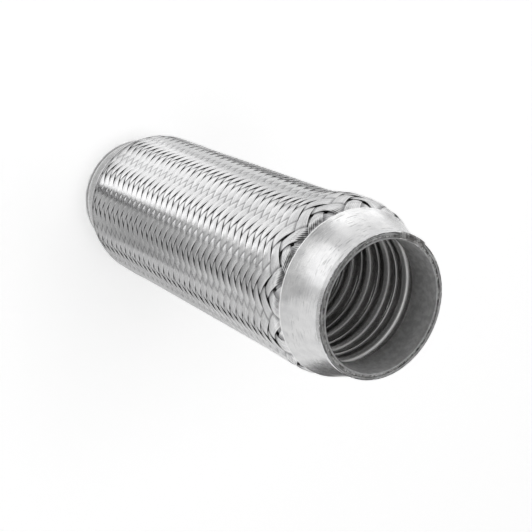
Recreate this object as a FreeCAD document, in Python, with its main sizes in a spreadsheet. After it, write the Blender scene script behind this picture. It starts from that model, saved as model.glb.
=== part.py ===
import FreeCAD, Part
import math
import os
import Sketcher

Vector = FreeCAD.Vector

# Driving dimensions, in millimetres and degrees. The pipe stands on its far mouth, with z upwards.
DIMENSIONS = {
    "overall_length": 200.0,      # from the far mouth, at z = 0, to the near mouth
    "bore_radius": 25.8,          # inside of the cuffs, where an exhaust tube slips in
    "bellows_wall": 0.6,          # two thin plies, formed as one wall
    "cuff_setback": 4.7,          # the folds begin this far inside the rear edge of a cap
    "convolution_count": 15,
    "root_radius": 1.3,           # rounding of each root, on the gas side
    "layer_gap": 0.1,             # play between bellows, braid and cap
    "braid_end_wall": 0.7,        # the braid where a cap squeezes it flat
    "cap_wall": 1.1,
    "cap_edge_wall": 1.1,         # the cap's wall across its rear edge, measured radially
    "cap_length": 18.7,
    "cap_neck_length": 2.5,       # straight rim of the cap, at the mouth
    "cap_skirt_radius": 33.5,     # outside of the cap's rear edge
    "cap_flare_radius": 109.0,    # the hollow sweep from the neck to the skirt
    "cap_edge_round": 0.4,
    "braid_clearance": 1.5,       # the braid runs free over the crests of the bellows by this much
    "braid_relief": 0.8,          # from the top of a band down to the crossings
    "braid_wall": 0.7,            # under the crossings
    "braid_end_recess": 0.75,     # the cut ends of the wires lie this far inside the mouth
    "band_count": 24,             # bands of wire in each direction, a multiple of two
    "crossing_pitch": 4.65,       # from one crossing to the next, along the pipe
    "weave_angle": -4.5,          # turns the pattern about the axis
    "weave_tuck": 5.0,            # the weave runs on this far under each cap
    "rise_length": 1.9,           # the braid swells from under a cap within this length
    "bulge_height": 1.3,          # slack in the braid behind the near cap
    "bulge_setback": 12.0,        # from the cap's edge to the middle of the slack
    "bulge_spread": 11.0,
    "bulge_lean": 0.75,           # the slack leans to one side by this share of its height
    "bulge_angle": 190.0,         # the side that it leans to
    "far_bulge_height": 0.3,      # slack in the braid before the far cap
    "gap_length": 1.7,            # an open crossing, along the pipe
    "gap_width": 1.0,
    "near_gap_rings": 2,          # rings of open crossings behind the near cap
    "far_gap_rings": 1,
    "weld_gap": 0.05,             # the rim welds reach this near to the cuff and the cap
    "weld_recess": 0.1,
    "weld_depth": 0.6,
    "weld_crown": 0.2,
    "stop_width": 2.7,            # start and stop lump of the near weld
    "stop_height": 0.7,
    "stop_overhang": 0.4,
    "stop_arc": 26.0,
    "stop_angle": 178.5,
}

doc = FreeCAD.newDocument("exhaust_flex_pipe")
sheet = doc.addObject("Spreadsheet::Sheet", "Sizes")
for line, (alias, number) in enumerate(DIMENSIONS.items(), start=1):
    sheet.set(f"A{line}", alias)
    sheet.set(f"B{line}", str(number))
    sheet.setAlias(f"B{line}", alias)
doc.recompute()


class Size:
    """A length that carries its number and the formula that ties it to the sheet."""

    def __init__(self, number, text):
        self.number = number
        self.text = text

    def joined(self, sign, other, number):
        return Size(number, f"({self.text} {sign} {other.text})")

    def __add__(self, other):
        return self.joined("+", other, self.number + other.number)

    def __sub__(self, other):
        return self.joined("-", other, self.number - other.number)

    def __mul__(self, other):
        return self.joined("*", other, self.number * other.number)

    def __truediv__(self, other):
        return self.joined("/", other, self.number / other.number)


def size(alias):
    return Size(float(sheet.get(alias)), f"Sizes.{alias}")


def constant(number):
    return Size(float(number), str(number))


ZERO = constant(0)
length = size("overall_length")
cuff_inside = size("bore_radius")
cuff_outside = cuff_inside + size("bellows_wall")
neck_inside = cuff_outside + size("layer_gap") + size("braid_end_wall") + size("layer_gap")
neck_outside = neck_inside + size("cap_wall")
skirt_inside = size("cap_skirt_radius") - size("cap_edge_wall")
flare_inside = size("cap_flare_radius") + size("cap_wall")
crest_outside = skirt_inside - size("layer_gap") - size("braid_end_wall") - size("layer_gap")
braid_inside = crest_outside + size("braid_clearance")
braid_outside = braid_inside + size("braid_wall") + size("braid_relief")


def new_body(name):
    body = doc.addObject("PartDesign::Body", name)
    body.Label = name
    return body


def profile_sketch(body, name, turn=None):
    """Empty sketch on the body's own XZ plane: across is the radius, up is the height."""
    sketch = body.newObject("Sketcher::SketchObject", name)
    plane = [part for part in body.Origin.OriginFeatures if part.Role == "XZ_Plane"][0]
    sketch.AttachmentSupport = (plane, [""])
    sketch.MapMode = "FlatFace"
    if turn is not None:
        sketch.setExpression(".AttachmentOffset.Rotation.Axis.x", "0")
        sketch.setExpression(".AttachmentOffset.Rotation.Axis.y", "1")
        sketch.setExpression(".AttachmentOffset.Rotation.Axis.z", "0")
        sketch.setExpression(".AttachmentOffset.Rotation.Angle", turn)
    return sketch


def bind(sketch, kind, place, value):
    index = sketch.addConstraint(Sketcher.Constraint(kind, *place, value.number))
    sketch.setExpression(f"Constraints[{index}]", value.text)


def draw_profile(sketch, corners, arcs=None):
    """Closed profile through the corners. arcs gives, for a side that is curved, its radius
    and +1 or -1 for a bow to the left or the right of the way from corner to corner."""
    arcs = arcs or {}
    sides = []
    for side, (across, up) in enumerate(corners):
        next_across, next_up = corners[(side + 1) % len(corners)]
        start = Vector(across.number, up.number, 0)
        finish = Vector(next_across.number, next_up.number, 0)
        if side in arcs:
            radius, bow = arcs[side]
            chord = finish - start
            sagitta = radius.number - math.sqrt(radius.number ** 2 - chord.Length ** 2 / 4)
            left = Vector(-chord.y, chord.x, 0).normalize()
            geometry = Part.Arc(start, (start + finish) / 2 + left * (bow * sagitta), finish)
        else:
            geometry = Part.LineSegment(start, finish)
        index = sketch.addGeometry(geometry, False)
        kept = (sketch.getPoint(index, 1) - start).Length < (sketch.getPoint(index, 2) - start).Length
        sides.append((index, 1, 2) if kept else (index, 2, 1))
    for side, (index, first, last) in enumerate(sides):
        after, after_first, after_last = sides[(side + 1) % len(sides)]
        sketch.addConstraint(Sketcher.Constraint("Coincident", index, last, after, after_first))
        across, up = corners[side]
        bind(sketch, "DistanceX", (-1, 1, index, first), across)
        if up is ZERO:
            sketch.addConstraint(Sketcher.Constraint("PointOnObject", index, first, -1))
        else:
            bind(sketch, "DistanceY", (-1, 1, index, first), up)
        if side in arcs:
            bind(sketch, "Radius", (index,), arcs[side][0])


def revolve(body, sketch, name, sweep="360"):
    feature = body.newObject("PartDesign::Revolution", name)
    feature.Profile = sketch
    feature.ReferenceAxis = (sketch, ["V_Axis"])
    feature.setExpression("Angle", sweep)
    sketch.Visibility = False
    return feature


def turn_over(body):
    """The near end is the far end turned over and lifted by the length of the pipe."""
    body.Placement = FreeCAD.Placement(Vector(0, 0, length.number), FreeCAD.Rotation(Vector(1, 0, 0), 180))
    body.setExpression(".Placement.Base.z", length.text)


def make_cap(name):
    """Drawn steel collar: a straight neck, a hollow flare and a rounded rear edge."""
    body = new_body(name)
    sketch = profile_sketch(body, name + "_profile")
    skirt, edge = size("cap_skirt_radius"), size("cap_edge_round")
    neck_top, rear = size("cap_neck_length"), size("cap_length")
    corners = [
        (neck_inside, ZERO),
        (neck_outside, ZERO),
        (neck_outside, neck_top),
        (skirt, rear - edge),
        (skirt - edge, rear),
        (skirt_inside, rear),
        (neck_inside, neck_top),
    ]
    arcs = {2: (size("cap_flare_radius"), 1), 3: (edge, -1), 5: (flare_inside, -1)}
    draw_profile(sketch, corners, arcs)
    revolve(body, sketch, name + "_shell")
    return body


def make_bellows():
    """Convoluted tube: each fold is a round crest between two round roots that it meets smoothly,
    and a cuff stands at each end."""
    body = new_body("bellows")
    wall, root = size("bellows_wall"), size("root_radius")
    cuff, count = size("cap_length") - size("cuff_setback"), size("convolution_count")
    pitch = (length - cuff - cuff) / count
    half = pitch / constant(2)
    crest_inside = crest_outside - wall
    fold_depth = crest_inside - cuff_inside
    rise = fold_depth - root
    crest = (rise * rise + half * half - root * root) / (constant(2) * fold_depth)
    across = (rise - crest) / (root + crest)
    up = half / (root + crest)
    root_centre = cuff_inside + root
    outer_root = root - wall
    end = cuff + pitch

    far_cuff = profile_sketch(body, "far_cuff_profile")
    draw_profile(far_cuff, [(cuff_inside, ZERO), (cuff_outside, ZERO), (cuff_outside, cuff), (cuff_inside, cuff)])
    revolve(body, far_cuff, "far_cuff")

    fold = profile_sketch(body, "convolution_profile")
    corners = [
        (cuff_inside, cuff),
        (cuff_outside, cuff),
        (root_centre + outer_root * across, cuff + outer_root * up),
        (crest_outside, cuff + half),
        (root_centre + outer_root * across, end - outer_root * up),
        (cuff_outside, end),
        (cuff_inside, end),
        (root_centre + root * across, end - root * up),
        (crest_inside, cuff + half),
        (root_centre + root * across, cuff + root * up),
    ]
    arcs = {
        1: (outer_root, 1),
        2: (crest + wall, -1),
        3: (crest + wall, -1),
        4: (outer_root, 1),
        6: (root, -1),
        7: (crest, 1),
        8: (crest, 1),
        9: (root, -1),
    }
    draw_profile(fold, corners, arcs)
    convolution = revolve(body, fold, "convolution")

    folds = body.newObject("PartDesign::LinearPattern", "convolutions")
    folds.Originals = [convolution]
    folds.Direction = (fold, ["V_Axis"])
    folds.setExpression("Occurrences", count.text)
    folds.setExpression("Length", (length - cuff - cuff - pitch).text)
    body.Tip = folds
    doc.recompute()

    near_cuff = profile_sketch(body, "near_cuff_profile")
    foot = length - cuff
    draw_profile(near_cuff, [(cuff_inside, foot), (cuff_outside, foot), (cuff_outside, length), (cuff_inside, length)])
    revolve(body, near_cuff, "near_cuff")
    return body


def make_rim_weld(name):
    """Bead that fuses cuff, wire ends and cap, let into the groove between cuff and neck."""
    body = new_body(name)
    inside = cuff_outside + size("weld_gap")
    outside = neck_inside - size("weld_gap")
    middle = (inside + outside) / constant(2)
    foot = size("weld_recess") + size("weld_crown")
    top = size("weld_recess") + size("weld_depth")
    ring = profile_sketch(body, name + "_profile")
    corners = [
        (inside, foot),
        (middle, size("weld_recess")),
        (outside, foot),
        (outside, top),
        (inside, top),
    ]
    draw_profile(ring, corners)
    revolve(body, ring, name + "_bead")
    return body


def add_weld_stop(body):
    """Lump where the weld starts and stops: it stands on the rim and hangs over its edge."""
    inside = cuff_outside + size("weld_gap")
    outside = neck_inside - size("weld_gap")
    stop_outside = neck_outside + size("stop_overhang")
    stop_inside = stop_outside - size("stop_width")
    crown = constant(0) - size("stop_height")
    shoulder = crown / constant(2)
    stem = size("weld_recess") + size("weld_depth")
    half_turn = "(Sizes.stop_angle - Sizes.stop_arc / 2)"
    lump = profile_sketch(body, "weld_stop_profile", turn=half_turn)
    corners = [
        (inside, stem),
        (inside, ZERO),
        (stop_inside, ZERO),
        (stop_inside + size("stop_height"), crown),
        (stop_outside - size("stop_height"), crown),
        (stop_outside, shoulder),
        (stop_outside, ZERO),
        (outside, ZERO),
        (outside, stem),
    ]
    draw_profile(lump, corners)
    revolve(body, lump, "weld_stop", sweep="Sizes.stop_arc")


def value(alias):
    return size(alias).number


class Braid:
    """Wall of woven wire: each float of a band is a raised lozenge, and every crossing is low.
    Rows run along the pipe, two for each band; columns are half a crossing pitch apart."""

    def __init__(self):
        self.rows = 2 * int(value("band_count"))
        self.half_pitch = value("crossing_pitch") / 2
        self.open_half = length.number / 2 - value("cap_length")
        self.reach = math.floor((self.open_half + value("weave_tuck")) / self.half_pitch)
        self.pinch_radius = skirt_inside.number - value("layer_gap")

    def height(self, column):
        return length.number / 2 + column * self.half_pitch

    def angle(self, row):
        return math.radians(value("weave_angle") + 360 * row / self.rows)

    def under_cap(self, depth):
        """Radius of the braid inside a cap, at a depth from the mouth: it follows the flare."""
        start = Vector(neck_inside.number, value("cap_neck_length"), 0)
        finish = Vector(skirt_inside.number, value("cap_length"), 0)
        chord = finish - start
        radius = flare_inside.number
        outward = Vector(chord.y, -chord.x, 0).normalize()
        centre = (start + finish) / 2 + outward * math.sqrt(radius ** 2 - chord.Length ** 2 / 4)
        below = min(max(depth, start.y), finish.y)
        return centre.x - math.sqrt(radius ** 2 - (below - centre.y) ** 2) - value("layer_gap")

    def rise(self, height):
        """From 0 at the edge of a cap to 1 where the braid runs free."""
        beyond = self.open_half - abs(height - length.number / 2)
        return 1 - math.exp(-(max(beyond, 0) / value("rise_length")) ** 2)

    def slack(self, height, turn):
        near = length.number - value("cap_length") - value("bulge_setback")
        far = value("cap_length") + value("bulge_setback")
        spread = value("bulge_spread")
        side = 1 + value("bulge_lean") * math.cos(turn - math.radians(value("bulge_angle")))
        near_part = value("bulge_height") * side * math.exp(-((height - near) / spread) ** 2)
        return near_part + value("far_bulge_height") * math.exp(-((height - far) / spread) ** 2)

    def top_radius(self, height, turn):
        depth = min(height, length.number - height)
        if depth <= value("cap_length"):
            return self.under_cap(depth)
        free = braid_outside.number + self.slack(height, turn)
        return self.pinch_radius + (free - self.pinch_radius) * self.rise(height)

    def point(self, kind, height, row):
        """A point on the top of a float, down at a crossing, or inside the wall."""
        turn = self.angle(row)
        rise = self.rise(height)
        full_wall = value("braid_relief") + value("braid_wall") - value("braid_end_wall")
        depth = {
            "float": 0.0,
            "crossing": value("braid_relief") * rise,
            "inside": value("braid_end_wall") + full_wall * rise,
        }
        radius = self.top_radius(height, turn) - depth[kind]
        return Vector(radius * math.cos(turn), radius * math.sin(turn), height)

    def float_facets(self, column, row, step):
        """Eight facets of a float that covers two crossings: six low points and two high ones."""
        if step > 0:
            rim = [(0, -1), (1, 0), (2, 1), (1, 2), (0, 1), (-1, 0)]
            facets = ["01a", "1ba", "12b", "23b", "34b", "4ab", "45a", "50a"]
        else:
            rim = [(0, -1), (1, 0), (0, 1), (-1, 2), (-2, 1), (-1, 0)]
            facets = ["01a", "12a", "2ba", "23b", "34b", "45b", "5ab", "50a"]
        places = {str(n): (column + c, row + r, "crossing") for n, (c, r) in enumerate(rim)}
        places["a"] = (column, row, "float")
        places["b"] = (column + step, row + 1, "float")
        if any(abs(place[0]) > self.reach for place in places.values()):
            return []
        return [[places[corner] for corner in facet] for facet in facets]

    def weave_facets(self):
        facets = []
        for row in range(0, self.rows, 2):
            step = 1 if row % 4 == 0 else -1
            for column in range(-self.reach, self.reach + 1):
                if (column + row) % 2:
                    facets += self.float_facets(column, row, step)
        return facets

    def place_point(self, place):
        column, row, kind = place
        return self.point(kind, self.height(column), row % self.rows)

    def band_of_faces(self, lower, upper):
        """Faces between two closed loops of points that have one point on every row."""
        faces = []
        for row in range(self.rows):
            after = (row + 1) % self.rows
            faces.append(polygon([lower[row], lower[after], upper[after]]))
            faces.append(polygon([lower[row], upper[after], upper[row]]))
        return faces

    def loop(self, kind, height):
        return [self.point(kind, height, row) for row in range(self.rows)]

    def end_loops(self, kind, first, mouth_side):
        """Loops from the end of the weave to the cut ends of the wires, under one cap."""
        neck = value("cap_neck_length")
        end = value("braid_end_recess")
        depths = [first, (first + neck) / 2, neck, end]
        if mouth_side > 0:
            return [self.loop(kind, length.number - depth) for depth in depths]
        return [self.loop(kind, depth) for depth in depths]

    def weave_edge(self, side):
        """The outermost low point of the weave on each row, at one end: a stepped edge."""
        low = {place for facet in self.facets for place in facet if place[2] == "crossing"}
        edge = []
        for row in range(self.rows):
            outermost = max(side * column for column, at, kind in low if at % self.rows == row)
            edge.append(self.place_point((side * outermost, row, "crossing")))
        return edge

    def inner_heights(self):
        """Heights of the loops inside the wall: close together only where the wall bends."""
        near = [self.reach - step for step in (0, 1, 2, 3, 6, 11, 18)]
        far = [-self.reach + step for step in (3, 2, 1, 0)]
        return [self.height(column) for column in near + far]

    def gaps(self):
        """Prisms through the crossings where two bands part, in rings next to the caps."""
        prisms = []
        first = math.floor(self.open_half / self.half_pitch) - 1
        rings = [first - 2 * n for n in range(int(value("near_gap_rings")))]
        rings += [-first + 2 * n for n in range(int(value("far_gap_rings")))]
        for ring in rings:
            for row in range(self.rows):
                if row % 4 in (0, 3):
                    column = ring + (ring + row) % 2
                    prisms.append(self.gap_prism(column, row))
        return prisms

    def gap_prism(self, column, row):
        """Rhombic prism on one crossing, from over the bellows to beyond the bands."""
        height = self.height(column)
        turn = self.angle(row)
        inner = crest_outside.number + value("layer_gap") / 2
        outer = self.top_radius(height, turn) + value("braid_relief")
        rhombus = []
        for along, across in ((1, 0), (0, 1), (-1, 0), (0, -1)):
            up = height + along * value("gap_length") / 2
            rhombus.append(Vector(inner, across * value("gap_width") / 2, up))
        prism = polygon(rhombus).extrude(Vector(outer - inner, 0, 0))
        prism.rotate(Vector(0, 0, 0), Vector(0, 0, 1), math.degrees(turn))
        return prism

    def solid(self):
        self.facets = self.weave_facets()
        faces = [polygon([self.place_point(place) for place in facet]) for facet in self.facets]
        weave_end = length.number / 2 - (self.reach + 1) * self.half_pitch
        outer_near = [self.weave_edge(1)] + self.end_loops("float", weave_end, 1)
        outer_far = [self.weave_edge(-1)] + self.end_loops("float", weave_end, -1)
        inside = self.end_loops("inside", weave_end, 1)[::-1]
        inside += [self.loop("inside", height) for height in self.inner_heights()]
        inside += self.end_loops("inside", weave_end, -1)
        runs = [outer_near, inside, outer_far]
        for run in runs:
            for lower, upper in zip(run, run[1:]):
                faces += self.band_of_faces(lower, upper)
        for outer, inner in ((outer_near[-1], inside[0]), (outer_far[-1], inside[-1])):
            faces += polygon(outer).cut(polygon(inner)).Faces
        skin = Part.Compound(faces)
        skin.sewShape()
        wall = Part.makeSolid(skin)
        if wall.Volume < 0:
            wall.reverse()
        return wall.cut(self.gaps()).Solids[0]


def closed_wire(points):
    return Part.makePolygon(points + points[:1])


def polygon(points):
    return Part.Face(closed_wire(points))


def make_braid():
    feature = doc.addObject("Part::Feature", "outer_braid")
    feature.Label = "outer_braid"
    feature.Shape = Braid().solid()
    feature.Placement = FreeCAD.Placement()
    return feature


near_cap = make_cap("near_end_cap")
turn_over(near_cap)
far_cap = make_cap("far_end_cap")
bellows = make_bellows()
near_weld = make_rim_weld("near_rim_weld")
add_weld_stop(near_weld)
turn_over(near_weld)
far_weld = make_rim_weld("far_rim_weld")
braid = make_braid()
doc.recompute()

pieces = [bellows, braid, near_cap, far_cap, near_weld, far_weld]
for item in doc.Objects:
    if "Invalid" in item.State or "Error" in item.State:
        raise RuntimeError(f"{item.Label} did not build: {item.State}")
for piece in pieces:
    if piece.Shape.isNull() or not piece.Shape.isValid() or len(piece.Shape.Solids) != 1:
        raise RuntimeError(f"{piece.Label} is not one valid solid")

os.makedirs("parts", exist_ok=True)
for piece in pieces:
    piece.Shape.exportStep(f"parts/{piece.Label}.step")
    print(piece.Label, round(piece.Shape.Volume, 1))
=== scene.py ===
"""Looks of the exhaust flex pipe: woven bands of wire in place of the plain braid wall, the steel
finishes, and the floor, light and camera."""

import math

import bpy
import numpy as np
from mathutils import Matrix, Vector


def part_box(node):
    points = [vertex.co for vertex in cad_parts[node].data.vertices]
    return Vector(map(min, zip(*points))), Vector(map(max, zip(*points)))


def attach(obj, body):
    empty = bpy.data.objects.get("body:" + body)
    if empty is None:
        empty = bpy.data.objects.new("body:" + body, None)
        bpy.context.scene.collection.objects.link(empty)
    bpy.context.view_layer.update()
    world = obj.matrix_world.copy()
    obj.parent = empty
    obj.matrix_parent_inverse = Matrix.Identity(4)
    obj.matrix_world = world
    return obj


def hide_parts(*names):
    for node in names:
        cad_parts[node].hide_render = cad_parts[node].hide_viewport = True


MM = 0.001

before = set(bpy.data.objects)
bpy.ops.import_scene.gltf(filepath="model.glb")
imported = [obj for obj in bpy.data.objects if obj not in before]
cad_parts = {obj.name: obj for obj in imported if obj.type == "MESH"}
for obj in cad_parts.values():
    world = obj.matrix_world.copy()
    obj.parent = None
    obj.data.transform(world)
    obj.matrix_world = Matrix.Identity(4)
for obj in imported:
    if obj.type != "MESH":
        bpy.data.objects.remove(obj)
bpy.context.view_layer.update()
scene = bpy.context.scene

# The pipe's own sizes: heights and skirt from the frame, the rest as in the part, in metres.
PIPE_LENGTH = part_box("bellows")[1].z
CAP_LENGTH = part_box("far_end_cap")[1].z
CAP_SKIRT_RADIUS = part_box("far_end_cap")[1].x
CAP_EDGE_WALL = 1.1 * MM
NECK_LENGTH = 2.5 * MM
NECK_INSIDE = 27.3 * MM
FLARE_INSIDE = 110.1 * MM          # radius of the hollow sweep, on its inner side
PLAY = 0.1 * MM                    # between the cap and the braid
BRAID_RADIUS = 34.5 * MM           # over the bands, at the middle of the pipe
RISE_LENGTH = 1.9 * MM             # the braid comes out from under a cap within about this
NEAR_SLACK = (1.3 * MM, PIPE_LENGTH - CAP_LENGTH - 12 * MM)     # height and place of the swell
FAR_SLACK = (0.3 * MM, CAP_LENGTH + 12 * MM)
SLACK_SPREAD = 11 * MM
SLACK_LEAN = 0.75                  # the near swell is this much higher on one side
SLACK_SIDE = math.radians(190)
END_RECESS = 0.75 * MM             # the wires are cut this far inside a rim
NEAR_EDGE = PIPE_LENGTH - CAP_LENGTH
NECK_OUTSIDE = 28.4 * MM
SLEEVE_LENGTH = 14 * MM            # smooth end of the bellows

# The weave: 24 bands each way, two over and two under, on a lattice of rows and columns.
BAND_COUNT = 24
WIRES_PER_BAND = 8
WIRE_FACETS = 3
HALF_PITCH = 2.325 * MM            # from one column to the next, along the pipe
ROW_TURN = math.pi / BAND_COUNT
WEAVE_TURN = math.radians(-4.5)
BAND_FILL = 0.95                   # width of a band over the distance between bands
WIRE_HEIGHT = 0.13 * MM            # crown of a wire over the valley beside it
BAND_ARCH = 0.16 * MM              # the edges of a band lie lower than its middle
BAND_SWING = 0.42 * MM             # the band rises and dips by this much at the crossings
COVERED_SWING = 0.25               # share of that swing left under a cap
BAND_BODY = 0.28 * MM              # metal under the valleys
BAND_UNDERSIDE = 0.47              # half the width of the flat underneath, over the band's width
BAND_PLAY = 0.13 * MM              # keeps the crowns inside the facets of the CAD wall
NEAR_STRETCH = (2.4 * MM, 6 * MM)  # the weave is drawn out towards a cap: by how much, how soon
FAR_STRETCH = (1.4 * MM, 9 * MM)
BAND_END = 0.6                     # columns from the middle of a band's end to its corner
RINGS_PER_COLUMN = 4               # rings of points on a band, between the caps
COVERED_RINGS = 6                  # rings of points on a band, under each cap

# Unrest of the wires. A band sways sideways by two slow waves: how far, in columns, and how fast.
SWAY = ((0.022, 0.37), (0.014, 1.13))
UNREST = ((0.61, 2.4), (0.23, 1.7))    # two waves over each wire: pace along it, step to the next
WIRE_SHIFT = 0.006                 # columns
WIRE_LIFT = 0.025 * MM
# Behind the caps the bands part: share of the width lost, at which height, over which reach.
PARTINGS = ((0.26, NEAR_EDGE - 4.5 * MM, 4.2 * MM), (0.14, CAP_LENGTH + 3 * MM, 3 * MM))

PIECES_PER_WAY = 3                 # the bands of one direction come as this many pieces


# Shapes

def cap_inside(depth):
    """Inner radius of a cap at a depth from the mouth: the neck, then an arc of one circle through
    the end of the neck and the rear edge, hollow side outwards."""
    start = np.array([NECK_INSIDE, NECK_LENGTH])
    finish = np.array([CAP_SKIRT_RADIUS - CAP_EDGE_WALL, CAP_LENGTH])
    chord = finish - start
    half = np.linalg.norm(chord) / 2
    outward = np.array([chord[1], -chord[0]]) / (2 * half)
    centre = (start + finish) / 2 + outward * math.sqrt(FLARE_INSIDE ** 2 - half ** 2)
    along = np.clip(depth, start[1], finish[1])
    return centre[0] - np.sqrt(FLARE_INSIDE ** 2 - (along - centre[1]) ** 2)


def free_share(height):
    """0 at the edge of a cap, growing to 1 where the braid runs free: one minus a bell curve."""
    beyond = PIPE_LENGTH / 2 - CAP_LENGTH - np.abs(height - PIPE_LENGTH / 2)
    return 1 - np.exp(-(np.maximum(beyond, 0) / RISE_LENGTH) ** 2)


def braid_top(height, turn):
    """Radius over the bands: under the caps it follows their inside, between them it is the free
    radius plus two bell-shaped swells, the near one stronger on one side."""
    depth = np.minimum(height, PIPE_LENGTH - height)
    under = cap_inside(depth) - PLAY
    side = 1 + SLACK_LEAN * np.cos(turn - SLACK_SIDE)
    near = NEAR_SLACK[0] * side * np.exp(-((height - NEAR_SLACK[1]) / SLACK_SPREAD) ** 2)
    far = FAR_SLACK[0] * np.exp(-((height - FAR_SLACK[1]) / SLACK_SPREAD) ** 2)
    pinch = CAP_SKIRT_RADIUS - CAP_EDGE_WALL - PLAY
    free = pinch + (BRAID_RADIUS + near + far - pinch) * free_share(height)
    return np.where(depth <= CAP_LENGTH, under, free)


def grid_mesh(name, points, uv):
    """Mesh of stacks of closed rings. points is (pieces, along, around, 3), uv is (pieces, along,
    around + 1, 2). Neighbouring rings are joined by quads, and each stack ends in two flat faces."""
    pieces, along, around, _ = points.shape
    number = np.arange(pieces * along * around).reshape(pieces, along, around)
    after = np.roll(number, -1, axis=2)
    quads = np.stack([number[:, :-1], after[:, :-1], after[:, 1:], number[:, 1:]], axis=-1)
    quad_uv = np.stack([uv[:, :-1, :-1], uv[:, :-1, 1:], uv[:, 1:, 1:], uv[:, 1:, :-1]], axis=-2)
    ends = np.concatenate([number[:, 0, ::-1], number[:, -1]])
    end_uv = np.concatenate([uv[:, 0, -2::-1], uv[:, -1, :-1]])
    quad_count = quads.size // 4
    loops = np.concatenate([quads.reshape(-1), ends.reshape(-1)])
    sizes = np.concatenate([np.full(quad_count, 4), np.full(len(ends), around)])
    starts = np.concatenate([[0], np.cumsum(sizes)[:-1]])
    smooth = np.concatenate([np.ones(quad_count, bool), np.zeros(len(ends), bool)])
    mesh = bpy.data.meshes.new(name)
    mesh.vertices.add(number.size)
    mesh.vertices.foreach_set("co", points.reshape(-1).astype(np.float32))
    mesh.loops.add(len(loops))
    mesh.loops.foreach_set("vertex_index", loops.astype(np.int32))
    mesh.polygons.add(len(sizes))
    mesh.polygons.foreach_set("loop_start", starts.astype(np.int32))
    mesh.update(calc_edges=True)
    mesh.polygons.foreach_set("use_smooth", smooth)
    layer = mesh.uv_layers.new(name="UVMap")
    loop_uv = np.concatenate([quad_uv.reshape(-1), end_uv.reshape(-1)])
    layer.data.foreach_set("uv", loop_uv.astype(np.float32))
    mesh.validate()
    thing = bpy.data.objects.new(name, mesh)
    scene.collection.objects.link(thing)
    return thing


def wire_profile():
    """Section of one band: places across it from -0.5 to 0.5 and heights over its middle plane.
    Each wire is a low round ridge of three facets, as high as the root of one minus a parabola. The
    whole band sinks by a parabola towards its edges, and two points underneath close the ring."""
    steps = np.arange(WIRE_FACETS * WIRES_PER_BAND + 1)
    share = (steps % WIRE_FACETS) / WIRE_FACETS
    crown = WIRE_HEIGHT * np.sqrt(1 - 0.9 * (2 * share - 1) ** 2)
    across = steps / steps[-1] - 0.5
    crown = crown - BAND_ARCH * (2 * across) ** 2
    return (np.concatenate([across, [BAND_UNDERSIDE, -BAND_UNDERSIDE]]),
            np.concatenate([crown, [-BAND_BODY, -BAND_BODY]]))


def weave_height(column):
    """Height of a column of the weave: even steps from the middle of the pipe, with an extra step
    that grows exponentially towards each cap and is whole under it."""
    even = PIPE_LENGTH / 2 + column * HALF_PITCH
    near_step, near_reach = NEAR_STRETCH
    far_step, far_reach = FAR_STRETCH
    near = near_step * np.exp(np.minimum(even + near_step - NEAR_EDGE, 0) / near_reach)
    far = far_step * np.exp(np.minimum(CAP_LENGTH + far_step - even, 0) / far_reach)
    return even + near - far


def band_group(name, direction, first, count):
    """Bands that wind one way (direction +1 or -1). A point of the weave has a row (turn about the
    axis) and a column (height). Going along a band by one crossing adds a row, or takes one off for
    direction -1, and adds a column; going across it by one band does the opposite. Over two
    crossings the band swings out and over the next two it dips, as a sine of the row."""
    rng = np.random.default_rng(7 + first + (50 if direction > 0 else 0))
    open_columns = (PIPE_LENGTH / 2 - CAP_LENGTH) / HALF_PITCH + 0.5
    near_end = (PIPE_LENGTH / 2 - END_RECESS - NEAR_STRETCH[0]) / HALF_PITCH - BAND_END
    far_end = (PIPE_LENGTH / 2 - END_RECESS - FAR_STRETCH[0]) / HALF_PITCH - BAND_END
    along = np.concatenate([
        np.linspace(-far_end, -open_columns, COVERED_RINGS, endpoint=False),
        np.linspace(-open_columns, open_columns, int(2 * RINGS_PER_COLUMN * open_columns)),
        np.linspace(near_end, open_columns, COVERED_RINGS, endpoint=False)[::-1]])[None, :, None]
    across, crown = (a[None, None, :] for a in wire_profile())
    band = np.arange(first, first + count)[:, None, None]
    row_centre = direction * (along + 1 - 2 * band)
    over = np.sin(math.pi / 2 * (row_centre + (0.5 if direction > 0 else -1.5)))

    phase = rng.uniform(0, 2 * math.pi, (4, count, 1, 1))
    sway = sum(size * np.sin(pace * along + start) for (size, pace), start in zip(SWAY, phase))
    wire = np.floor((across + 0.5) * WIRES_PER_BAND - 1e-6)
    unrest = math.prod(np.sin(pace * along + step * wire + start)
                       for (pace, step), start in zip(UNREST, phase[2:]))
    middle = weave_height(along)
    parted = sum(loss * np.exp(-((middle - place) / reach) ** 2) for loss, place, reach in PARTINGS)
    parted = parted * (0.55 + 0.45 * np.cos(math.pi / 2 * (row_centre + 0.5)))

    offset = across * (BAND_FILL - parted) + sway + WIRE_SHIFT * unrest
    height = weave_height(along + offset)
    turn = WEAVE_TURN + ROW_TURN * (row_centre - direction * offset)
    swing = BAND_SWING * (COVERED_SWING + (1 - COVERED_SWING) * free_share(height))
    lift = crown + WIRE_LIFT * unrest + swing * over
    radius = braid_top(height, turn) - swing - WIRE_HEIGHT - BAND_PLAY + lift
    points = np.stack(np.broadcast_arrays(radius * np.cos(turn), radius * np.sin(turn), height), axis=-1)

    ridges = np.linspace(0, WIRES_PER_BAND, WIRE_FACETS * WIRES_PER_BAND + 1)
    around = np.concatenate([ridges, [WIRES_PER_BAND, 0, 0]])
    stage = along + 2.0 * band - (0 if direction > 0 else 1)
    uv = np.stack(np.broadcast_arrays(stage, around[None, None, :]), axis=-1)
    if direction < 0:              # the rings run the other way round, so that faces point outwards
        points = points[:, :, ::-1]
        uv = np.concatenate([uv[:, :, -2::-1], uv[:, :, -1:]], axis=2)
    return grid_mesh(name, points, uv)


# Finishes

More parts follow.
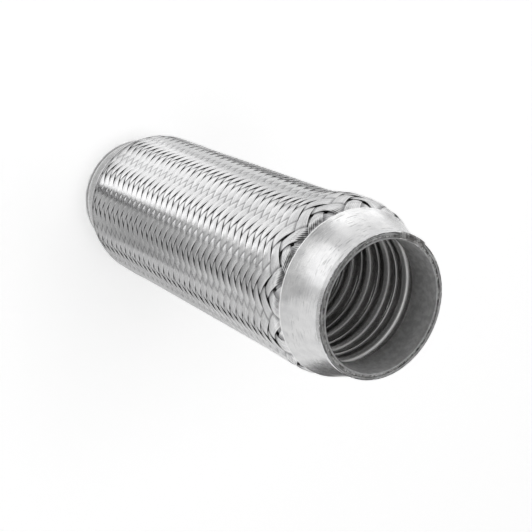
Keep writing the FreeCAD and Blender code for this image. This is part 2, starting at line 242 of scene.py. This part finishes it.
class Signal:
    """A value in a material. Arithmetic on it adds Math nodes."""

    def __init__(self, nodes, socket):
        self.nodes = nodes
        self.socket = socket

    def __add__(self, other):
        return self.nodes.math("ADD", self, other)

    def __sub__(self, other):
        return self.nodes.math("SUBTRACT", self, other)

    def __rsub__(self, other):
        return self.nodes.math("SUBTRACT", other, self)

    def __mul__(self, other):
        return self.nodes.math("MULTIPLY", self, other)

    def __truediv__(self, other):
        return self.nodes.math("DIVIDE", self, other)

    def __rtruediv__(self, other):
        return self.nodes.math("DIVIDE", other, self)

    __radd__ = __add__
    __rmul__ = __mul__

    def between(self, low, high):
        """0 below low, 1 above high, and a smooth way from one to the other."""
        return self.nodes.value("ShaderNodeMapRange", {"interpolation_type": "SMOOTHSTEP"},
                                {"Value": self, "From Min": low, "From Max": high})


class Nodes:
    """A node tree that is filled by node()."""

    def __init__(self, tree):
        self.tree = tree

    def node(self, kind, settings=None, inputs=None):
        node = self.tree.nodes.new(kind)
        for key, setting in (settings or {}).items():
            setattr(node, key, setting)
        for key, value in (inputs or {}).items():
            self.feed(node.inputs[key], value)
        return node

    def feed(self, socket, value):
        if isinstance(value, Signal):
            self.tree.links.new(value.socket, socket)
        elif isinstance(value, bpy.types.NodeSocket):
            self.tree.links.new(value, socket)
        elif isinstance(value, tuple) and socket.type == "RGBA":
            socket.default_value = (*value, 1)
        else:
            socket.default_value = value

    def value(self, kind, settings=None, inputs=None, output=0):
        """One output of a new node, for arithmetic."""
        return Signal(self, self.node(kind, settings, inputs).outputs[output])

    def math(self, operation, *values):
        return self.value("ShaderNodeMath", {"operation": operation}, dict(enumerate(values)))

    def place(self):
        """Object coordinates as a vector socket."""
        return self.node("ShaderNodeTexCoord").outputs["Object"]

    def split(self, vector):
        node = self.node("ShaderNodeSeparateXYZ", inputs={0: vector})
        return [Signal(self, node.outputs[axis]) for axis in "XYZ"]

    def join(self, x, y, z):
        return self.node("ShaderNodeCombineXYZ", inputs={0: x, 1: y, 2: z}).outputs[0]

    def cloud(self, vector, scale, detail=2.0, roughness=0.5):
        """Noise, roughly from 0.3 to 0.7."""
        return self.value("ShaderNodeTexNoise", inputs={
            "Vector": vector, "Scale": scale, "Detail": detail, "Roughness": roughness})

    def blend(self, factor, first, second):
        """Colour mix: first where the factor is 0, second where it is 1."""
        return self.node("ShaderNodeMix", {"data_type": "RGBA"}, {0: factor, 6: first, 7: second}).outputs[2]

    def wrapped(self):
        """Coordinates that run round the pipe and along it, so that a pattern has no seam: the unit
        direction from the axis, the height and the distance from the axis."""
        x, y, z = self.split(self.place())
        flat = self.join(x, y, 0.0)
        reach = self.value("ShaderNodeVectorMath", {"operation": "LENGTH"}, {0: flat}, "Value")
        return x / reach, y / reach, z, reach


class Finish(Nodes):
    """A material of one Principled shader, metal unless told otherwise."""

    def __init__(self, name, metallic=1.0):
        self.material = bpy.data.materials.new(name)
        self.material.use_nodes = True
        super().__init__(self.material.node_tree)
        self.shader = self.tree.nodes["Principled BSDF"]
        self.set("Metallic", metallic)

    def set(self, name, value):
        """Sets or links one of the shader's own sockets."""
        self.feed(self.shader.inputs[name], value)

    def metal(self, colour, roughness, bump, strength, distance):
        """Colour, roughness and relief of a steel surface."""
        self.set("Base Color", colour)
        self.set("Roughness", roughness)
        relief = self.node("ShaderNodeBump", inputs={
            "Height": bump, "Strength": strength, "Distance": distance})
        self.set("Normal", relief.outputs[0])
        return self.material


def grey(level):
    return level, level, level


def wire_finish():
    """Bright drawn wire: painted shade in the valleys between the wires, each wire its own tone, fine
    lines along, and painted shade at the ends of each float, where the band dips under the next."""
    f = Finish("braid_wire")
    uv = f.node("ShaderNodeUVMap", {"uv_map": "UVMap"}).outputs[0]
    along, around, _ = f.split(uv)
    wire = f.math("FLOOR", around)
    tone = f.cloud(f.join(along * 0.21, wire * 7.3, 0.0), 1.0)
    share = around - wire
    # Painted shade: the colour darkens in the valleys between the wires.
    valley_shade = 1 - (share * (1 - share) * 4).between(0.0, 0.7)
    lines = f.cloud(f.join(along * 0.9, around * 14.0, 0.0), 3.0, 3.0)
    over = f.math("SINE", (along + 1.5) * (math.pi / 2))
    # Painted shade: the colour darkens at the ends of each float, where the band dips under the next.
    dip_shade = 1 - over.between(-0.05, 0.42)
    base = f.blend(tone.between(0.3, 0.7), (0.55, 0.55, 0.555), grey(0.68))
    valley_shaded = f.blend(valley_shade * 0.45, base, (0.25, 0.25, 0.26))
    colour = f.blend(dip_shade * 0.7, valley_shaded, (0.12, 0.12, 0.125))
    return f.metal(colour, 0.08 + 0.12 * lines, lines, 0.12, 0.00003)


def cap_finish():
    """Satin drawn sheet: rings of faint drawing marks, small scratches and a few dark pits. The cut
    rims are scored and duller, with dark burrs on their outer edge, and a painted highlight in white
    runs along the rear edge of the near cap."""
    f = Finish("cap_steel")
    x, y, z, reach = f.wrapped()
    place = f.place()
    rings = f.cloud(f.join(x * 1.2, y * 1.2, z * 540.0), 3.0, 4.0, 0.6)
    streak = f.cloud(f.join(x * 9.0, y * 9.0, z * 21.0), 4.0, 3.0)
    patch = f.cloud(place, 60.0, 3.0)
    fog = f.cloud(place, 240.0, 3.0, 0.6)

    cells = f.node("ShaderNodeTexVoronoi", inputs={"Vector": place, "Scale": 170.0})
    rare = f.value("ShaderNodeSeparateColor", inputs={0: cells.outputs["Color"]}).between(0.82, 0.84)
    pit = rare * (1 - Signal(f, cells.outputs["Distance"]).between(0.03, 0.09))
    scratch = f.cloud(f.join(x * 8.0, y * 8.0, z * 1800.0), 1.0).between(0.55, 0.66)
    scratch = scratch * f.cloud(place, 90.0).between(0.42, 0.58)

    near = z.between(PIPE_LENGTH - 0.25 * MM, PIPE_LENGTH - 0.1 * MM)
    cut = near + (1 - z.between(0.1 * MM, 0.25 * MM))
    scored = f.cloud(f.join(x * 3.0, y * 3.0, reach * 2600.0), 2.0, 3.0, 0.7)
    burr = (near + z.between(PIPE_LENGTH - 0.5 * MM, PIPE_LENGTH - 0.4 * MM)) * 0.5
    burr = burr * reach.between(NECK_OUTSIDE - 0.3 * MM, NECK_OUTSIDE - 0.15 * MM)
    burr = burr * f.cloud(place, 500.0).between(0.42, 0.5)
    # Painted highlight: a white band round the rear edge of the near cap, duller as well.
    lip_highlight = z.between(NEAR_EDGE - 1 * MM, NEAR_EDGE - 0.5 * MM)
    lip_highlight = lip_highlight * (1 - z.between(NEAR_EDGE + 0.5 * MM, NEAR_EDGE + 0.65 * MM))

    mottle = patch.between(0.35, 0.65) * 0.5 + fog.between(0.3, 0.7) * 0.5
    sheet = f.blend(mottle, (0.55, 0.55, 0.555), grey(0.7))
    sheet = f.blend(scratch * 0.45, sheet, grey(0.2))
    sheet = f.blend(pit * 0.75, sheet, grey(0.12))
    sawn = f.blend(scored.between(0.42, 0.58), grey(0.4), grey(1.0))
    steel = f.blend(burr * 0.85, f.blend(cut, sheet, sawn), grey(0.1))
    # The painted highlight on the near cap's rear edge is laid on here as white base colour.
    colour = f.blend(lip_highlight, steel, grey(1.0))
    rough = 0.09 + 0.1 * rings + 0.08 * fog + 0.38 * cut + 0.4 * lip_highlight
    return f.metal(colour, rough, rings + 0.6 * streak + 0.5 * fog - 1.5 * pit, 0.2, 0.00008)


def bellows_finish():
    """Smooth thin sheet, faintly streaked along the pipe and a little duller in patches. The near
    sleeve is matt and mottled."""
    f = Finish("bellows_steel")
    x, y, z, _ = f.wrapped()
    streak = f.cloud(f.join(x * 6.0, y * 6.0, z * 18.0), 3.0, 3.0)
    patch = f.cloud(f.place(), 45.0)
    mottle = f.cloud(f.place(), 420.0, 3.0, 0.6)
    sleeve_start = PIPE_LENGTH - SLEEVE_LENGTH
    sleeve = z.between(sleeve_start - 1 * MM, sleeve_start + 0.5 * MM)
    smooth = f.blend(patch.between(0.35, 0.65), (0.66, 0.655, 0.65), (0.78, 0.775, 0.77))
    matt = f.blend(mottle.between(0.35, 0.65), grey(0.74), grey(0.92))
    colour = f.blend(sleeve, smooth, matt)
    return f.metal(colour, 0.14 + 0.12 * streak + 0.36 * sleeve, streak + sleeve * mottle, 0.08, 0.00005)


def weld_finish():
    """Rough bead: ripples across it, melted wire ends and dark specks, and tarnish on the lump."""
    f = Finish("weld_metal")
    place = f.place()
    ripple = f.cloud(place, 900.0, 3.0, 0.6)
    lumps = f.cloud(place, 260.0)
    crown = f.split(place)[2].between(PIPE_LENGTH + 0.05 * MM, PIPE_LENGTH + 0.3 * MM)
    bead = f.blend(ripple.between(0.4, 0.6), (0.5, 0.495, 0.49), (0.95, 0.945, 0.94))
    tarnish = f.blend(ripple.between(0.4, 0.6), (0.25, 0.245, 0.24), (0.55, 0.545, 0.54))
    colour = f.blend(lumps.between(0.48, 0.6) * 0.75, f.blend(crown, bead, tarnish), (0.12, 0.115, 0.11))
    return f.metal(colour, 0.35 + 0.2 * ripple, ripple + lumps, 1.0, 0.0006)


def dress(thing, material):
    thing.data.materials.clear()
    thing.data.materials.append(material)


wire_steel = wire_finish()
cap_steel = cap_finish()
weld_metal = weld_finish()
for node, steel in (("bellows", bellows_finish()), ("outer_braid", wire_steel),
                    ("near_end_cap", cap_steel), ("far_end_cap", cap_steel),
                    ("near_rim_weld", weld_metal), ("far_rim_weld", weld_metal)):
    dress(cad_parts[node], steel)

bands_per_piece = BAND_COUNT // PIECES_PER_WAY
for direction, side in ((1, "right"), (-1, "left")):
    for group in range(PIECES_PER_WAY):
        wires = band_group(f"braid_{side}_{group + 1}", direction, group * bands_per_piece, bands_per_piece)
        dress(wires, wire_steel)
        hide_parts("outer_braid")
        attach(wires, "root")


# Floor and light

FLOOR_HALF = 4.0
FLOOR_DROP = 0.2 * MM              # the floor lies this far under the far rim
FLOOR_GREY = 0.95
FLOOR_GLOW = 0.43                  # with the light on it, this makes the floor just white to the eye
HORIZON = 1.25                     # the studio is a bright ring with a dark top
ZENITH = 0.09
LIGHT_PLACE = (-0.25, -0.2, 1.6)
LIGHT_SIZE = 1.2
LIGHT_POWER = 8.5
CARD_POINTS = 48                   # on each long edge of a floor card


def staged(name, points, faces):
    """Mesh that belongs to the studio and not to the pipe."""
    mesh = bpy.data.meshes.new(name)
    mesh.from_pydata(points, [], faces)
    thing = bpy.data.objects.new(name, mesh)
    scene.collection.objects.link(thing)
    return thing


def floor_finish():
    """White paper. Rays from the camera, from metal and through glass see it glow up to white, and
    the others only see it lit, so that it throws no extra light on the pipe."""
    f = Finish("floor_paper", metallic=0.0)
    rays = f.node("ShaderNodeLightPath")
    camera_ray, glossy_ray, through_ray = (
        Signal(f, rays.outputs[f"Is {kind} Ray"]) for kind in ("Camera", "Glossy", "Transmission"))
    seen = f.math("MINIMUM", camera_ray + glossy_ray + through_ray, 1.0)
    f.set("Base Color", grey(FLOOR_GREY))
    f.set("Roughness", 0.9)
    f.set("Specular IOR Level", 0.1)
    f.set("Emission Color", f.blend(seen, grey(0.0), grey(FLOOR_GLOW)))
    f.set("Emission Strength", 1.0)
    return f.material


def card_finish(name, level, glow):
    """Paper of one grey, with a glow of its own."""
    f = Finish(name, metallic=0.0)
    f.set("Base Color", grey(level))
    f.set("Roughness", 1.0)
    f.set("Emission Color", grey(1.0))
    f.set("Emission Strength", glow)
    return f.material


def floor_card(name, turns, inner, outer, height, level, glow):
    """Strip lying round the pipe's foot, seen only in the metal: the braid and the caps look down at
    the floor, so these give them their light and dark sides. The strip lies between two curves
    round the axis, whose radii run straight from one given turn to the next."""
    fine = np.linspace(turns[0], turns[-1], CARD_POINTS)
    angle = np.radians(fine)
    edges = [np.interp(fine, turns, radii) * MM for radii in (inner, outer)]
    ring = [np.stack([r * np.cos(angle), r * np.sin(angle), 0 * angle + height * MM], axis=1) for r in edges]
    first = np.arange(CARD_POINTS - 1)
    faces = np.stack([first, first + CARD_POINTS, first + CARD_POINTS + 1, first + 1], axis=1)
    thing = staged(name, np.concatenate(ring).tolist(), faces.tolist())
    dress(thing, card_finish(name, level, glow))
    thing.visible_camera = thing.visible_shadow = thing.visible_diffuse = False


floor_corners = [(sx * FLOOR_HALF, sy * FLOOR_HALF, -FLOOR_DROP)
                 for sx, sy in ((-1, -1), (1, -1), (1, 1), (-1, 1))]
dress(staged("floor", floor_corners, [(0, 1, 2, 3)]), floor_finish())

CARDS = (
    # name, turns in degrees, radius of the near and of the far edge at each turn in millimetres,
    # height in millimetres, grey, glow
    ("edge_card", (-84, -78), (47, 47), (165, 165), 0.5, 0.2, 0),
    ("side_card_1", (-78, -30), (47, 47), (62, 62), 0.5, 0.5, 0.4),
    ("side_card_2", (-78, -30), (62, 62), (78, 78), 0.5, 0.5, 0.3),
    ("side_card_3", (-78, -30), (78, 78), (95, 95), 0.5, 0.5, 0.2),
    ("side_card_4", (-78, -30), (95, 95), (165, 165), 0.5, 0.5, 0.1),
    ("lower_card", (-30, 45), (47, 47), (165, 165), 0.5, 0, 0.72),
    ("neck_card", (-78, 0), (182, 182), (210, 205), 0.5, 0, 0.45),
    ("back_card", (100, 158), (47, 47), (150, 150), 0.5, 0.15, 0),
    ("pale_glow", (-165, -101), (55, 55), (175, 175), 0.4, 0, 1.5),
    ("streak_glow", (-101, -84), (50, 50), (175, 175), 0.4, 0, 1.8),
    ("foot_card", (0, 359.9), (29, 29), (45, 45), -0.1, 0, 0.38),
    ("under_card", (20, 33, 55, 85), (298, 274, 218, 200), (312, 332, 274, 262), 0.3, 0, 0.08),
    ("cap_glow", (-132, -115, -90, -79), (470, 470, 480, 500), (600, 860, 760, 540), 0.3, 0, 1.75),
    ("line_glow", (146, 152, 172, 195, 210),
     (316, 330, 420, 525, 640), (322, 355, 470, 640, 690), 0.3, 0, 2.2),
    ("cap_card", (-155, -140, -115, -90, -64, -50),
     (760, 700, 870, 770, 560, 900), (2000, 2000, 2000, 2000, 2000, 1500), 0.3, 0, 0.55),
    ("top_card", (108, 138), (205, 262), (275, 310), 0.3, 0, 0.7),
)
for card in CARDS:
    floor_card(*card)

world = bpy.data.worlds.new("studio")
scene.world = world
world.use_nodes = True
sky = Nodes(world.node_tree)
background = sky.tree.nodes["Background"]
_, _, up = sky.split(sky.node("ShaderNodeTexCoord").outputs["Generated"])
sky.feed(background.inputs["Color"], grey(1.0))
sky.feed(background.inputs["Strength"], HORIZON - (HORIZON - ZENITH) * up.between(0.3, 0.65))

light = bpy.data.lights.new("top_light", "AREA")
light.shape = "RECTANGLE"
light.size = light.size_y = LIGHT_SIZE
light.energy = LIGHT_POWER
top_light = bpy.data.objects.new("top_light", light)
aim = (Vector((0, 0, PIPE_LENGTH / 2)) - Vector(LIGHT_PLACE)).to_track_quat("-Z", "Y")
top_light.matrix_world = Matrix.Translation(LIGHT_PLACE) @ aim.to_matrix().to_4x4()
top_light.visible_glossy = False
scene.collection.objects.link(top_light)


# Camera

CAMERA_PLACE = (0.0, -292.7 * MM, 517.8 * MM)
CAMERA_TURN = math.radians(89.11)      # compass direction of the view, from +X
CAMERA_DOWN = math.radians(53.38)
CAMERA_ROLL = math.radians(115.15)
CAMERA_LENS = 79.04

camera_data = bpy.data.cameras.new("camera")
camera_data.sensor_width = 36
camera_data.lens = CAMERA_LENS
camera_data.clip_start = 0.01
camera = bpy.data.objects.new("camera", camera_data)
quarter = math.pi / 2
turned = Matrix.Rotation(CAMERA_TURN - quarter, 4, "Z") @ Matrix.Rotation(quarter - CAMERA_DOWN, 4, "X")
camera.matrix_world = Matrix.Translation(CAMERA_PLACE) @ turned @ Matrix.Rotation(CAMERA_ROLL, 4, "Z")
scene.collection.objects.link(camera)
scene.camera = camera
scene.view_settings.view_transform = "Standard"


bpy.context.view_layer.update()
